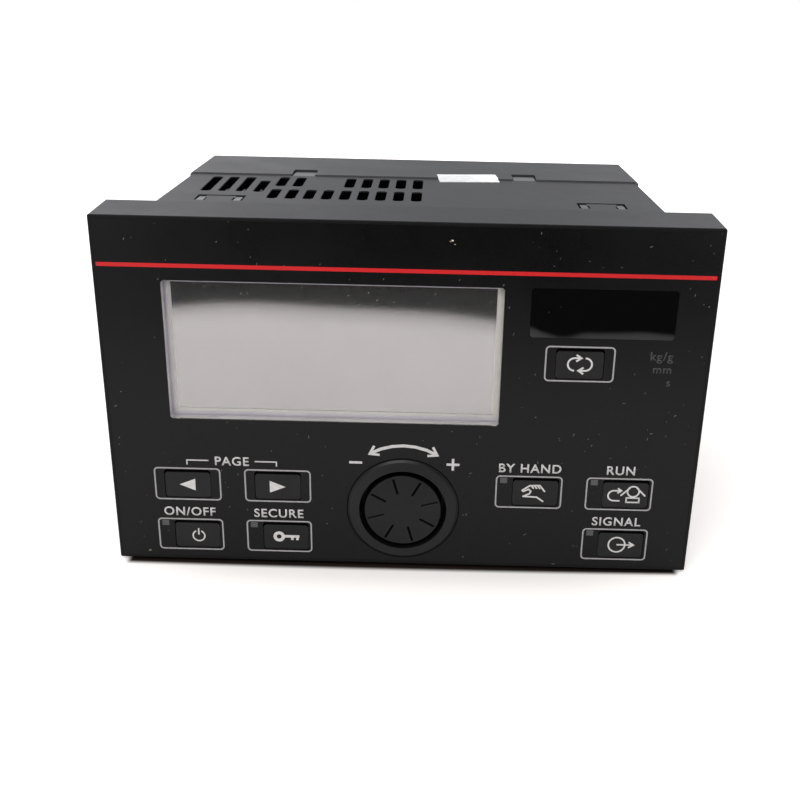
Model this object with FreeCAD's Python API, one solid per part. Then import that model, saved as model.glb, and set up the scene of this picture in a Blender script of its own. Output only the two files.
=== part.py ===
"""Panel-mount tension controller: front bezel with keys, dial and windows, drafted case and rear cover.

Millimetres. X to the right of the front, Y to the rear, Z up. The origin is the centre of the mounting
plane, the back of the front flange, so the front face is at negative Y.
"""
import math
import os

import FreeCAD
import Part

Vector = FreeCAD.Vector

# Front bezel
panel_width = 200.0
panel_height = 124.0
bezel_depth = 20.0
bezel_wall = 3.0
front_wall = 3.0
bezel_corner = 0.7
bezel_edge = 0.25
overlay_thickness = 0.3
overlay_inset = 1.15
opening_corner = 0.7

# Clearances
film_gap = 0.05
window_gap = 0.1
flange_gap = 0.2
lug_gap = 0.15
key_gap = 0.2
key_top_gap = 1.15
lift_gap = 0.1
plunger_gap = 0.06
shaft_gap = 0.05
screw_gap = 0.05
board_gap = 0.15
coil_gap = 0.2
terminal_gap = 0.3
cover_gap = 0.15
seam_gap = 0.2
latch_gap = 0.4

# Display window and liquid-crystal module, between the left edge and the readout
display_from_left = 21.45
display_to_readout = 8.55
display_z = 16.8
display_height = 48.5
window_lip = 2.5
window_lip_thickness = 1.2
lcd_margin = 1.6
lcd_lip = 0.5
lcd_cover = 3.0
lcd_rim = 3.5
lcd_glass_thickness = 2.4

# Numeric readout
readout_from_right = 12.7
readout_from_top = 20.7
readout_width = 47.0
readout_height = 16.8
readout_lip = 1.6
digit_module_depth = 8.0

# Keys: two columns from each side and two rows from the bottom, and one key under the readout
key_outer_column = 25.75
key_inner_column = 56.8
key_upper_row = 29.85
key_lower_row = 10.0
cycle_from_right = 42.7
cycle_below_readout = 8.9
outline_width = 22.9
outline_height = 12.5
key_width = 16.0
key_height = 10.9
key_recess = 0.3
key_lip = 1.0
key_lip_thickness = 1.2
key_travel = 0.5
lamp_shift = 2.3
stem_side = 4.0
plunger_side = 3.4
plunger_reach = 1.2
switch_side = 6.0
switch_height = 4.1
switch_floor = 1.4

# Key lamps
lamp_width = 2.4
lamp_height = 2.1
lamp_from_side = 1.5
lamp_from_top = 0.85
lamp_lip = 0.5
lamp_lip_thickness = 1.0
led_width = 3.0
led_height = 2.0
led_depth = 1.0

# Dial and encoder
dial_from_bottom = 22.1
collar_radius = 19.0
collar_hole_radius = 15.1
collar_rise = 1.3
collar_spigot_radius = 17.0
collar_edge = 0.7
collar_fall = 0.4
collar_depth = 6.6
disc_radius = 13.4
disc_rise = 1.2
disc_depth = 6.2
disc_edge = 0.3
grip_count = 8
grip_phase = 16.0
grip_inner = 6.6
grip_outer = 12.5
grip_width = 0.9
grip_depth = 0.4
shaft_radius = 3.0
shaft_in_disc = 4.8
shaft_in_encoder = 2.7
bush_radius = 4.5
bush_length = 2.6
encoder_side = 12.4
encoder_height = 5.5

# Front board, its posts and screws
board_thickness = 1.6
board_edge_gap = 4.0
board_setback = 13.5
post_side = 6.4
post_inset = 4.5
lower_post_from_side = 41.2
lower_post_from_bottom = 20.0
screw_radius = 1.25
screw_head_radius = 2.4
screw_head_height = 1.5
screw_length = 7.0
screw_hole_spare = 1.0

# Case body behind the flange
body_side_margin = 9.3
body_top_margin = 5.0
side_draft = 1.9
top_draft = 1.6
case_depth = 76.5
body_depth = 117.0
case_wall = 3.0
body_edge = 0.8
flange_thickness = 3.0
spigot_length = 12.0
cover_wall = 2.0
cover_rise = 0.6

# Snap lugs on the flange, and the ribs that the flange sits on
lug_width = 9.0
lug_rise = 0.9
lug_thickness = 1.4
lug_from_side = 43.6
lug_from_top = 28.0
rib_width = 4.0
rib_reach = 2.5

# Vents: columns count from the left, and rows are front and back edges behind the flange
vent_width = 3.9
vent_pitch = 6.5
vent_from_left = 23.8
vent_corner = 1.1
vent_front_row = (32.0, 49.0)
vent_back_row = (54.7, 73.0)
vent_medium = (43.0, 65.0)
vent_long = (43.2, 71.5)
long_columns = (0, 1, 2)
medium_columns = (3,)
front_row_columns = range(4, 13)
back_row_columns = (4, 5, 8, 9, 10, 11, 12)
lower_columns = range(-4, 5)

# Clamp hook pockets, snap latches and seal label
hook_from_side = 31.8
hook_width = 17.2
hook_start = 26.8
hook_end = 36.0
hook_slot = 1.6
hook_side_slot = 0.8
hook_bridge = 4.0
hook_depth = 5.4
hook_bridge_sink = 0.3
hook_pad = 2.5
hook_pad_sink = 0.3
hook_notch = 0.6
hook_notch_length = 4.4
hook_wall = 1.5
latch_x = 43.7
latch_width = 9.4
latch_length = 10.0
latch_corner = 0.7
latch_drop = 0.35
label_x = 21.3
label_past_seam = 0.6
label_width = 23.5
label_length = 12.3
label_turn = 6.0
label_thickness = 0.2

# Inner boards
power_board_lift = 16.0
power_board_start = 4.0
board_end_gap = 13.0
rail_reach = 4.0
rail_height = 3.0
rail_end = 70.0
control_board_side_gap = 4.75
control_board_to_cans = 7.0
control_board_start = 20.0
control_board_lift = 34.4
pillar_radius = 3.4
pillar_inset = 6.0

# Parts on the inner boards
sink_side_gap = 5.2
sink_top_gap = 2.3
sink_width = 24.0
sink_start = 42.0
sink_end = 75.0
sink_base = 3.0
fin_count = 6
fin_thickness = 1.8
transistor_width = 10.2
transistor_thickness = 4.5
transistor_height = 16.0
transistor_lift = 20.0
transistor_pitch = 14.0
transistor_count = 2
capacitor_radius = 10.0
capacitor_height = 40.0
capacitor_side_gap = 7.0
capacitor_y = 22.0
capacitor_pitch = 25.0
capacitor_count = 2
core_x = 30.0
core_y = 48.0
core_width = 40.0
core_thickness = 18.0
core_height = 30.0
core_leg = 6.0
coil_overhang = 8.0
chip_side = 18.0
chip_height = 2.2
chip_pitch = 32.0
chip_count = 2
chip_y = 50.0
connector_x = 30.0
connector_width = 40.0
connector_height = 8.4
connector_reach = 8.0

# Rear terminals
pole_count = 9
pole_pitch = 10.0
terminal_height = 16.0
terminal_length = 21.0
terminal_rise = 2.0
power_terminal_x = 0.0
wire_hole = 3.6
wire_depth = 10.0
wire_lift = 4.4
release_width = 2.4
release_height = 3.8
release_depth = 3.0
release_lift = 11.2

# Planes, edges and sizes that several pieces share
over = 1.0
left = -panel_width / 2
right = panel_width / 2
bottom = -panel_height / 2
top = panel_height / 2
face_y = -bezel_depth
inner_y = face_y + front_wall
film_back_y = face_y + overlay_thickness
window_back_y = inner_y + window_lip_thickness
board_front_y = face_y + board_setback
board_back_y = board_front_y + board_thickness
cavity_width = panel_width - 2 * bezel_wall
cavity_height = panel_height - 2 * bezel_wall
board_half_width = cavity_width / 2 - board_edge_gap
board_half_height = cavity_height / 2 - board_edge_gap
cover_start = case_depth + seam_gap
side_slope = math.tan(math.radians(side_draft))
top_slope = math.tan(math.radians(top_draft))


def block(x0, x1, y0, y1, z0, z1):
    return Part.makeBox(x1 - x0, y1 - y0, z1 - z0, Vector(x0, y0, z0))


def bar(width, height, x, z, y0, y1):
    """A square-cornered bar along Y, centred on x and z."""
    return block(x - width / 2, x + width / 2, y0, y1, z - height / 2, z + height / 2)


def rod(radius, x, z, y0, y1):
    return Part.makeCylinder(radius, y1 - y0, Vector(x, y0, z), Vector(0, 1, 0))


def six_points(radius):
    turns = [math.radians(60 * i) for i in range(6)]
    return [(radius * math.cos(t), radius * math.sin(t)) for t in turns]


def six_sided(radius, x, z, y0, y1):
    """A six-sided bar along Y, with its corners at the given radius."""
    return prism([Vector(x + u, y0, z + v) for u, v in six_points(radius)], Vector(0, y1 - y0, 0))


def cut_corners(half_u, half_v, corner):
    """The eight points of a rectangle with its corners cut off."""
    u, v = half_u - corner, half_v - corner
    return [(half_u, -v), (half_u, v), (u, half_v), (-u, half_v),
            (-half_u, v), (-half_u, -v), (-u, -half_v), (u, -half_v)]


def prism(corners, way):
    """A closed outline of points, drawn out along a vector."""
    return Part.Face(Part.makePolygon(corners + corners[:1])).extrude(way)


def pad(width, height, corner, x, z, y0, y1):
    """A rectangle with cut corners in the XZ plane, drawn out from y0 to y1."""
    points = cut_corners(width / 2, height / 2, corner)
    return prism([Vector(x + u, y0, z + v) for u, v in points], Vector(0, y1 - y0, 0))


def slot(width, y0, y1, corner, x, z0, z1):
    """A rectangle with cut corners in the XY plane, drawn out from z0 to z1."""
    points = cut_corners(width / 2, (y1 - y0) / 2, corner)
    return prism([Vector(x + u, (y0 + y1) / 2 + v, z0) for u, v in points], Vector(0, 0, z1 - z0))


def side_view(points, x0, x1):
    """A polygon of (y, z) points, drawn out along X."""
    return prism([Vector(x0, y, z) for y, z in points], Vector(x1 - x0, 0, 0))


def rounded_pad(width, height, radius, y0, y1):
    """A rectangle with round corners about the middle axis, drawn out from y0 to y1."""
    plate = bar(width, height, 0, 0, y0, y1)
    return plate.makeFillet(radius, edges_along_depth(plate))


def turned(points, z):
    """A closed outline of (radius, y) points, turned about an axis along Y at height z."""
    corners = [Vector(radius, y, z) for radius, y in points]
    face = Part.Face(Part.makePolygon(corners + corners[:1]))
    return face.revolve(Vector(0, 0, z), Vector(0, 1, 0), 360)


def body_half_width(y, inset=0.0):
    return panel_width / 2 - body_side_margin - inset - y * side_slope


def body_half_height(y, inset=0.0):
    return panel_height / 2 - body_top_margin - inset - y * top_slope


def body(inset, y0, y1):
    """The drafted body between two depths, moved in from the case's outside by inset."""
    sections = []
    for y in (y0, y1):
        w = body_half_width(y, inset)
        h = body_half_height(y, inset)
        corners = [Vector(-w, y, -h), Vector(w, y, -h), Vector(w, y, h), Vector(-w, y, h)]
        sections.append(Part.makePolygon(corners + corners[:1]))
    return Part.makeLoft(sections, True, True)


def edges_along_depth(shape):
    """The edges that run from front to back."""
    ends = [(e, e.Vertexes[0].Point, e.Vertexes[-1].Point) for e in shape.Edges]
    return [e for e, a, b in ends if abs(a.y - b.y) > 0.9 * e.Length]


def edges_at_depth(shape, y):
    return [e for e in shape.Edges if all(abs(v.Point.y - y) < 1e-6 for v in e.Vertexes)]


def above_and_below(shapes):
    """The shapes and their mirrors below the middle plane."""
    return list(shapes) + [s.mirror(Vector(0, 0, 0), Vector(0, 0, 1)) for s in shapes]


def save(name, shape):
    shape.exportStep(f"parts/{name}.step")


def save_group(name, solids):
    save(name, Part.makeCompound(solids))


# Places of windows, dial, keys and posts
readout_x = right - readout_from_right - readout_width / 2
readout_z = top - readout_from_top - readout_height / 2
display_right = right - readout_from_right - readout_width - display_to_readout
display_width = display_right - left - display_from_left
display_x = display_right - display_width / 2
dial_z = bottom + dial_from_bottom
keys = {
    "menu_left": (left + key_outer_column, bottom + key_upper_row),
    "menu_right": (left + key_inner_column, bottom + key_upper_row),
    "power": (left + key_outer_column, bottom + key_lower_row),
    "lock": (left + key_inner_column, bottom + key_lower_row),
    "manual": (right - key_inner_column, bottom + key_upper_row),
    "auto": (right - key_outer_column, bottom + key_upper_row),
    "output": (right - key_outer_column, bottom + key_lower_row),
    "cycle": (right - cycle_from_right, readout_z - readout_height / 2 - cycle_below_readout),
}
lit_keys = ("power", "lock", "manual", "auto", "output")
post_places = [(sx * (board_half_width - post_inset), board_half_height - post_inset) for sx in (-1, 1)]
post_places += [(sx * (right - lower_post_from_side), bottom + lower_post_from_bottom) for sx in (-1, 1)]


def cap_centre(name):
    """The middle of a key's opening, moved to the right where a lamp shares the outline."""
    x, z = keys[name]
    return (x + lamp_shift if name in lit_keys else x), z


def lamp_centre(name):
    x, z = keys[name]
    side = outline_width / 2 - lamp_from_side - lamp_width / 2
    top = outline_height / 2 - lamp_from_top - lamp_height / 2
    return x - side, z + top


def around_flange(reach_in, reach_out, width, y0, y1):
    """Blocks across the flange's rim: two on each side, and two each above and below."""
    half_w, half_h = cavity_width / 2, cavity_height / 2
    lug_x, lug_z = right - lug_from_side, top - lug_from_top
    blocks = []
    for z in (-lug_z, lug_z):
        blocks.append(block(half_w - reach_in, half_w + reach_out, y0, y1, z - width / 2, z + width / 2))
        blocks.append(block(-half_w - reach_out, -half_w + reach_in, y0, y1, z - width / 2, z + width / 2))
    for x in (-lug_x, lug_x):
        rim = block(x - width / 2, x + width / 2, y0, y1, half_h - reach_in, half_h + reach_out)
        blocks += above_and_below([rim])
    return blocks


lug_start = -(flange_thickness + lug_thickness) / 2


def front_openings(y0, y1):
    """The cuts that bezel and film share: windows, keys and lamps."""
    cuts = [
        pad(display_width, display_height, opening_corner, display_x, display_z, y0, y1),
        pad(readout_width, readout_height, opening_corner, readout_x, readout_z, y0, y1),
    ]
    for name in keys:
        cuts.append(pad(key_width, key_height, opening_corner, *cap_centre(name), y0, y1))
    for name in lit_keys:
        cuts.append(bar(lamp_width + 2 * film_gap, lamp_height + 2 * film_gap, *lamp_centre(name), y0, y1))
    return cuts


def front_bezel():
    """An open box with the front's cut-outs, a seat for the film, board posts, ribs and lug pockets."""
    shell = rounded_pad(panel_width, panel_height, bezel_corner, face_y, 0)
    shell = shell.makeChamfer(bezel_edge, edges_at_depth(shell, face_y))
    cavity = bar(cavity_width, cavity_height, 0, 0, inner_y, over)
    film_seat = rounded_pad(panel_width - 2 * overlay_inset, panel_height - 2 * overlay_inset, bezel_corner,
                            face_y - over, film_back_y)
    posts = [bar(post_side, post_side, x, z, inner_y, board_front_y) for x, z in post_places]
    ribs = around_flange(rib_reach, bezel_wall / 2, rib_width, inner_y, -flange_thickness)
    shell = shell.cut([cavity, film_seat]).fuse(posts + ribs)
    pilot_start = board_back_y - screw_length - screw_hole_spare
    pilots = [six_sided(screw_radius + screw_gap, x, z, pilot_start, board_front_y + over)
              for x, z in post_places]
    pockets = around_flange(flange_gap, lug_rise - flange_gap + lug_gap, lug_width + 2 * lug_gap,
                            lug_start - lug_gap, lug_start + lug_thickness + lug_gap)
    hole = rod(collar_spigot_radius + window_gap, 0, dial_z, face_y - over, inner_y + over)
    cuts = front_openings(face_y - over, inner_y + over) + pilots + pockets + [hole]
    return shell.cut(cuts).removeSplitter()


def overlay_sheet():
    width = panel_width - 2 * overlay_inset - 2 * film_gap
    height = panel_height - 2 * overlay_inset - 2 * film_gap
    sheet = rounded_pad(width, height, bezel_corner, face_y, film_back_y)
    hole = rod(collar_radius + window_gap, 0, dial_z, face_y - over, film_back_y + over)
    return sheet.cut(front_openings(face_y - over, film_back_y + over) + [hole])


def window(width, height, lip, x, z):
    """A pane that fills its opening and is held by a lip behind the front wall."""
    pane = pad(width - 2 * window_gap, height - 2 * window_gap, opening_corner, x, z, face_y, inner_y)
    rim = bar(width + 2 * lip, height + 2 * lip, x, z, inner_y, window_back_y)
    return pane.fuse(rim).removeSplitter()


# Sizes of the liquid-crystal module, outwards from its visible area
lcd_view_width = display_width - 2 * lcd_margin
lcd_view_height = display_height - 2 * lcd_margin
lcd_glass_width = lcd_view_width + 2 * lcd_cover
lcd_glass_height = lcd_view_height + 2 * lcd_cover
lcd_frame_width = lcd_glass_width + 2 * lcd_rim
lcd_frame_height = lcd_glass_height + 2 * lcd_rim
lcd_glass_y = window_back_y + lcd_lip
lcd_backlight_y = lcd_glass_y + lcd_glass_thickness
lcd_board_y = board_front_y - board_thickness


def lcd_bar(width, height, y0, y1):
    return bar(width, height, display_x, display_z, y0, y1)


def lcd_frame():
    frame = lcd_bar(lcd_frame_width, lcd_frame_height, window_back_y, lcd_board_y)
    view = lcd_bar(lcd_view_width, lcd_view_height, window_back_y - over, lcd_glass_y + over)
    pocket = lcd_bar(lcd_glass_width, lcd_glass_height, lcd_glass_y, lcd_board_y + over)
    return frame.cut([view, pocket])


def lcd_layer(y0, y1):
    return lcd_bar(lcd_glass_width - 2 * window_gap, lcd_glass_height - 2 * window_gap, y0, y1)


def readout_digits():
    return bar(readout_width + 2 * readout_lip, readout_height + 2 * readout_lip, readout_x, readout_z,
               board_front_y - digit_module_depth, board_front_y)


# Depths along a key, from its face to the switch's floor
key_face_y = face_y + key_recess
key_lip_y = inner_y + lift_gap
switch_face_y = board_front_y - switch_height
stem_end_y = switch_face_y - plunger_reach
plunger_end_y = board_front_y - switch_floor - key_travel - lift_gap


def key(name):
    """A cap with its face below the panel, a lip behind the front wall and a stem to its switch."""
    x, z = cap_centre(name)
    cap_height = key_height - key_gap - key_top_gap
    cap_z = z + (key_gap - key_top_gap) / 2
    lip_end_y = key_lip_y + key_lip_thickness
    cap = pad(key_width - 2 * key_gap, cap_height, opening_corner, x, cap_z, key_face_y, key_lip_y)
    lip = bar(key_width + 2 * key_lip, key_height + 2 * key_lip, x, z, key_lip_y, lip_end_y)
    stem = bar(stem_side, stem_side, x, z, lip_end_y, stem_end_y)
    return cap.fuse([lip, stem]).removeSplitter()


def plunger(name):
    return bar(plunger_side, plunger_side, *cap_centre(name), stem_end_y, plunger_end_y)


def switch_housing(name):
    x, z = cap_centre(name)
    housing = bar(switch_side, switch_side, x, z, switch_face_y, board_front_y)
    bore_side = plunger_side + 2 * plunger_gap
    return housing.cut(bar(bore_side, bore_side, x, z, switch_face_y - over, board_front_y - switch_floor))


def lamp(name):
    """A light pipe from the film's face to the light source on the board."""
    pipe = bar(lamp_width, lamp_height, *lamp_centre(name), face_y, board_front_y - led_depth)
    lip = bar(lamp_width + 2 * lamp_lip, lamp_height + 2 * lamp_lip, *lamp_centre(name),
              inner_y, inner_y + lamp_lip_thickness)
    return pipe.fuse(lip).removeSplitter()


def led(name):
    return bar(led_width, led_height, *lamp_centre(name), board_front_y - led_depth, board_front_y)


# Depths along the dial, from its face to the encoder
collar_top_y = face_y - collar_rise
collar_back_y = collar_top_y + collar_depth
disc_face_y = face_y - disc_rise
disc_back_y = disc_face_y + disc_depth
encoder_face_y = board_front_y - encoder_height
shaft_end_y = encoder_face_y + shaft_in_encoder


def dial_collar():
    """A low ring that falls away outwards, and a spigot through the front wall."""
    outer_y = collar_top_y + collar_fall
    return turned([
        (collar_hole_radius, collar_top_y), (collar_radius - collar_edge, outer_y),
        (collar_radius, outer_y + collar_edge),
        (collar_radius, film_back_y), (collar_spigot_radius, film_back_y),
        (collar_spigot_radius, collar_back_y), (collar_hole_radius, collar_back_y),
    ], dial_z)


def dial_disc():
    """A round button on the shaft, with radial grip grooves on its face."""
    disc = turned([
        (0, disc_face_y), (disc_radius - disc_edge, disc_face_y), (disc_radius, disc_face_y + disc_edge),
        (disc_radius, disc_back_y), (0, disc_back_y),
    ], dial_z)
    cuts = [rod(shaft_radius + shaft_gap, 0, dial_z, disc_back_y - shaft_in_disc, disc_back_y + over)]
    half = grip_width / 2 * (1 + over / grip_depth)
    points = [(disc_face_y - over, dial_z - half), (disc_face_y - over, dial_z + half),
              (disc_face_y + grip_depth, dial_z)]
    for i in range(grip_count):
        groove = side_view(points, grip_inner, grip_outer)
        groove.rotate(Vector(0, 0, dial_z), Vector(0, 1, 0), -grip_phase - 360.0 * i / grip_count)
        cuts.append(groove)
    return disc.cut(cuts)


def encoder_body():
    base = bar(encoder_side, encoder_side, 0, dial_z, encoder_face_y, board_front_y)
    bush = six_sided(bush_radius, 0, dial_z, encoder_face_y - bush_length, encoder_face_y)
    bore = rod(shaft_radius + shaft_gap, 0, dial_z,
               encoder_face_y - bush_length - over, shaft_end_y + shaft_gap)
    return base.fuse(bush).cut(bore).removeSplitter()


def encoder_shaft():
    return rod(shaft_radius, 0, dial_z, disc_back_y - shaft_in_disc, shaft_end_y)


def panel_board():
    plate = bar(2 * board_half_width, 2 * board_half_height, 0, 0, board_front_y, board_back_y)
    return plate.cut([six_sided(screw_radius + screw_gap, x, z, board_front_y - over, board_back_y + over)
                      for x, z in post_places])


def board_screw(x, z):
    """A hexagon-head screw, its thread left plain to fit the six-sided pilot hole."""
    shank = six_sided(screw_radius, x, z, board_back_y - screw_length, board_back_y)
    head = six_sided(screw_head_radius, x, z, board_back_y, board_back_y + screw_head_height)
    return shank.fuse(head).removeSplitter()


def wall_slot(x, start, end):
    """A vent cut that passes right through the case's top wall."""
    low = body_half_height(case_depth, case_wall) - over
    return slot(vent_width, start, end, vent_corner, x, low, body_half_height(0) + over)


def top_slots():
    """The vents in the case's top: three long slots at the left, one middling, then two rows."""
    rows = [(long_columns, vent_long), (medium_columns, vent_medium),
            (front_row_columns, vent_front_row), (back_row_columns, vent_back_row)]
    return [wall_slot(left + vent_from_left + column * vent_pitch, start, end)
            for columns, (start, end) in rows for column in columns]


def lower_slots():
    """One row of vents in the middle of the case's underside."""
    upper = [wall_slot(column * vent_pitch, *vent_back_row) for column in lower_columns]
    return above_and_below(upper)[len(upper):]


hook_x = right - hook_from_side
hook_top = body_half_height(hook_end)
hook_floor = hook_top - hook_depth
hook_half = hook_width / 2
slot_start = hook_end - hook_slot


def hook_boss(x):
    """The wall around one clamp pocket, inside the case's top."""
    side = hook_half + hook_wall
    return block(x - side, x + side, hook_start - hook_wall, hook_end + hook_wall,
                 hook_floor - hook_wall, hook_top - case_wall / 2)


def hook_cuts(x):
    """One clamp pocket: two slots round its corners, a low bridge, and a notch beside each pad."""
    above = hook_top + case_wall
    half_bridge = hook_bridge / 2
    cuts = [block(x - half_bridge, x + half_bridge, slot_start, hook_end, hook_top - hook_bridge_sink, above)]
    for way in (-1, 1):
        outer, inner = x + way * hook_half, x + way * half_bridge
        side = outer - way * hook_side_slot
        outline = [(outer, hook_start), (outer, hook_end), (inner, hook_end), (inner, slot_start),
                   (side, slot_start), (side, hook_start)]
        cuts.append(prism([Vector(u, v, hook_floor) for u, v in outline], Vector(0, 0, above - hook_floor)))
        notch_x = side - way * (hook_pad + hook_notch / 2)
        cuts.append(block(notch_x - hook_notch / 2, notch_x + hook_notch / 2,
                          hook_start, hook_start + hook_notch_length, hook_top - hook_notch, above))
    return cuts


def hook_pads(x):
    """The two low ramps beside a pocket's side slots, cut deeper to the rear."""
    above = hook_top + case_wall
    points = [(hook_start, above), (hook_start, body_half_height(hook_start)),
              (slot_start, body_half_height(slot_start, hook_pad_sink)), (slot_start, above)]
    ramps = []
    for way in (-1, 1):
        edge = x + way * (hook_half - hook_side_slot)
        ramps.append(side_view(points, min(edge, edge - way * hook_pad), max(edge, edge - way * hook_pad)))
    return ramps


spigot_inset = cover_wall - cover_rise + cover_gap
spigot_end = case_depth + spigot_length
latch_end = cover_start + latch_length


def snap_tongue(x):
    """A tongue of the case that lies in the cover's notch, a little lower at the rear."""
    half = latch_width / 2 - latch_gap
    end = latch_end - latch_gap
    base = body_half_height(end, (spigot_inset + case_wall) / 2)
    points = [(case_depth, base), (end, base), (end, body_half_height(end, latch_drop)),
              (case_depth, body_half_height(case_depth))]
    return side_view(points, x - half, x + half)


power_board_end = body_depth - board_end_gap
power_board_z = power_board_lift - body_half_height(0, case_wall)
power_board_top = power_board_z + board_thickness
power_board_half = body_half_width(spigot_end, case_wall) - board_gap
capacitor_x = capacitor_side_gap + capacitor_radius - body_half_width(capacitor_y, case_wall)
cans_right = capacitor_x + (capacitor_count - 1) * capacitor_pitch + capacitor_radius
control_board_z = power_board_top + control_board_lift
control_board_top = control_board_z + board_thickness
control_board_left = cans_right + control_board_to_cans
control_board_right = body_half_width(spigot_end, case_wall) - control_board_side_gap
control_board_x = (control_board_left + control_board_right) / 2


def board_rails():
    """Two ribs on each side wall that hold the edges of the power board."""
    inside = body(case_wall / 2, 0, rail_end)
    reach = power_board_half - rail_reach
    rails = []
    for z in (power_board_z - board_gap - rail_height, power_board_top + board_gap):
        for x0, x1 in ((reach, panel_width), (-panel_width, -reach)):
            rails.append(block(x0, x1, 0, rail_end, z, z + rail_height).common(inside))
    return rails


def main_case():
    """The drafted tube with its flange, lugs, vents, clamp pockets, spigot and snap tongues."""
    outside = body(0, 0, case_depth)
    outside = outside.makeChamfer(body_edge, edges_along_depth(outside))
    flange = bar(cavity_width - 2 * flange_gap, cavity_height - 2 * flange_gap, 0, 0, -flange_thickness, 0)
    lugs = around_flange(2 * flange_gap, lug_rise - flange_gap, lug_width,
                         lug_start, lug_start + lug_thickness)
    spigot = body(spigot_inset, case_depth, spigot_end)
    hollow = body(case_wall, -flange_thickness - over, spigot_end + over)
    case = outside.fuse([flange, spigot] + lugs).cut(hollow)
    sides = (-hook_x, hook_x)
    bosses = [hook_boss(x) for x in sides]
    tongues = [snap_tongue(x) for x in (-latch_x, latch_x)]
    pockets = [cut for x in sides for cut in hook_cuts(x) + hook_pads(x)]
    case = case.fuse(above_and_below(bosses + tongues) + board_rails())
    return case.cut(above_and_below(pockets) + top_slots() + lower_slots()).removeSplitter()


terminal_width = pole_count * pole_pitch
terminal_end = body_depth + terminal_rise
terminal_start = terminal_end - terminal_length
terminal_rows = {
    "power_terminals": (power_terminal_x, power_board_top),
    "signal_terminals": (control_board_x, control_board_top),
}


def rear_cover():
    """The rear shell, proud of the case at the seam, with latch notches and terminal openings."""
    shell = body(-cover_rise, cover_start, body_depth)
    shell = shell.makeChamfer(body_edge, edges_along_depth(shell) + edges_at_depth(shell, body_depth))
    shell = shell.cut(body(cover_wall - cover_rise, cover_start - over, body_depth - cover_wall))
    cuts = []
    for x, z in terminal_rows.values():
        cuts.append(bar(terminal_width + 2 * terminal_gap, terminal_height + 2 * terminal_gap,
                        x, z + terminal_height / 2, body_depth - cover_wall - over, body_depth + over))
    low = body_half_height(body_depth, cover_wall)
    before = cover_start - latch_corner - over
    notches = [slot(latch_width, before, latch_end, latch_corner, x, low, body_half_height(0) + over)
               for x in (-latch_x, latch_x)]
    return shell.cut(cuts + above_and_below(notches))


label_y = case_depth + label_past_seam


def seal_label():
    """A bare label stuck askew across the seam, stepping up over the cover's edge."""
    step_y = case_depth - cover_rise
    start, end = label_y - label_length, label_y + label_length
    lower = [(start, body_half_height(start)), (step_y, body_half_height(step_y)),
             (cover_start, body_half_height(cover_start, -cover_rise)),
             (end, body_half_height(end, -cover_rise))]
    upper = [(y, z + label_thickness) for y, z in reversed(lower)]
    strip = side_view(lower + upper, label_x - label_width, label_x + label_width)
    sheet = block(-label_width / 2, label_width / 2, -label_length / 2, label_length / 2, 0, panel_height)
    sheet.rotate(Vector(0, 0, 0), Vector(0, 0, 1), label_turn)
    sheet.translate(Vector(label_x, label_y, 0))
    return strip.common(sheet)


def power_board():
    return block(-power_board_half, power_board_half, power_board_start, power_board_end,
                 power_board_z, power_board_top)


def control_board():
    return block(control_board_left, control_board_right, control_board_start, power_board_end,
                 control_board_z, control_board_top)


def board_pillars():
    """Six-sided pillars that carry the control board."""
    pillars = []
    for x in (control_board_left + pillar_inset, control_board_right - pillar_inset):
        for y in (control_board_start + pillar_inset, terminal_start - pillar_inset):
            corners = [Vector(x + u, y + v, power_board_top) for u, v in six_points(pillar_radius)]
            pillars.append(prism(corners, Vector(0, 0, control_board_lift)))
    return pillars


sink_left = sink_side_gap - body_half_width(sink_end, case_wall)
sink_right = sink_left + sink_width


def heat_sink():
    """An upright extrusion: a base plate towards the middle and fins towards the side wall."""
    sink_top = body_half_height(sink_end, case_wall) - sink_top_gap
    base = block(sink_right - sink_base, sink_right, sink_start, sink_end, power_board_top, sink_top)
    pitch = (sink_end - sink_start - fin_thickness) / (fin_count - 1)
    starts = [sink_start + i * pitch for i in range(fin_count)]
    fins = [block(sink_left, sink_right, y, y + fin_thickness, power_board_top, sink_top) for y in starts]
    return base.fuse(fins).removeSplitter()


def spread(count, pitch):
    """Evenly spaced places about zero."""
    return [(i - (count - 1) / 2) * pitch for i in range(count)]


def power_transistors():
    x = sink_right
    z = power_board_top + transistor_lift
    middle = (sink_start + sink_end) / 2
    half = transistor_width / 2
    return [block(x, x + transistor_thickness, middle + y - half, middle + y + half, z, z + transistor_height)
            for y in spread(transistor_count, transistor_pitch)]


def capacitors():
    return [Part.makeCylinder(capacitor_radius, capacitor_height,
                              Vector(capacitor_x + i * capacitor_pitch, capacitor_y, power_board_top))
            for i in range(capacitor_count)]


def transformer_core():
    """A three-legged core whose two windows take the coil."""
    half, deep = core_width / 2, core_thickness / 2
    low, high = power_board_top, power_board_top + core_height
    core = block(core_x - half, core_x + half, core_y - deep, core_y + deep, low, high)
    cuts = []
    for x0, x1 in ((core_leg, half - core_leg), (core_leg - half, -core_leg)):
        cuts.append(block(core_x + x0, core_x + x1, core_y - deep - over, core_y + deep + over,
                          low + core_leg, high - core_leg))
    return core.cut(cuts)


def transformer_coil():
    wide = core_width / 2 - core_leg - coil_gap
    deep = core_thickness / 2 + coil_overhang
    low = power_board_top + core_leg
    high = power_board_top + core_height - core_leg - coil_gap
    coil = block(core_x - wide, core_x + wide, core_y - deep, core_y + deep, low, high)
    leg = core_leg + coil_gap
    deep = core_thickness / 2 + coil_gap
    return coil.cut(block(core_x - leg, core_x + leg, core_y - deep, core_y + deep, low - over, high + over))


def control_chips():
    half = chip_side / 2
    return [block(control_board_x + x - half, control_board_x + x + half, chip_y - half, chip_y + half,
                  control_board_top, control_board_top + chip_height) for x in spread(chip_count, chip_pitch)]


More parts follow.
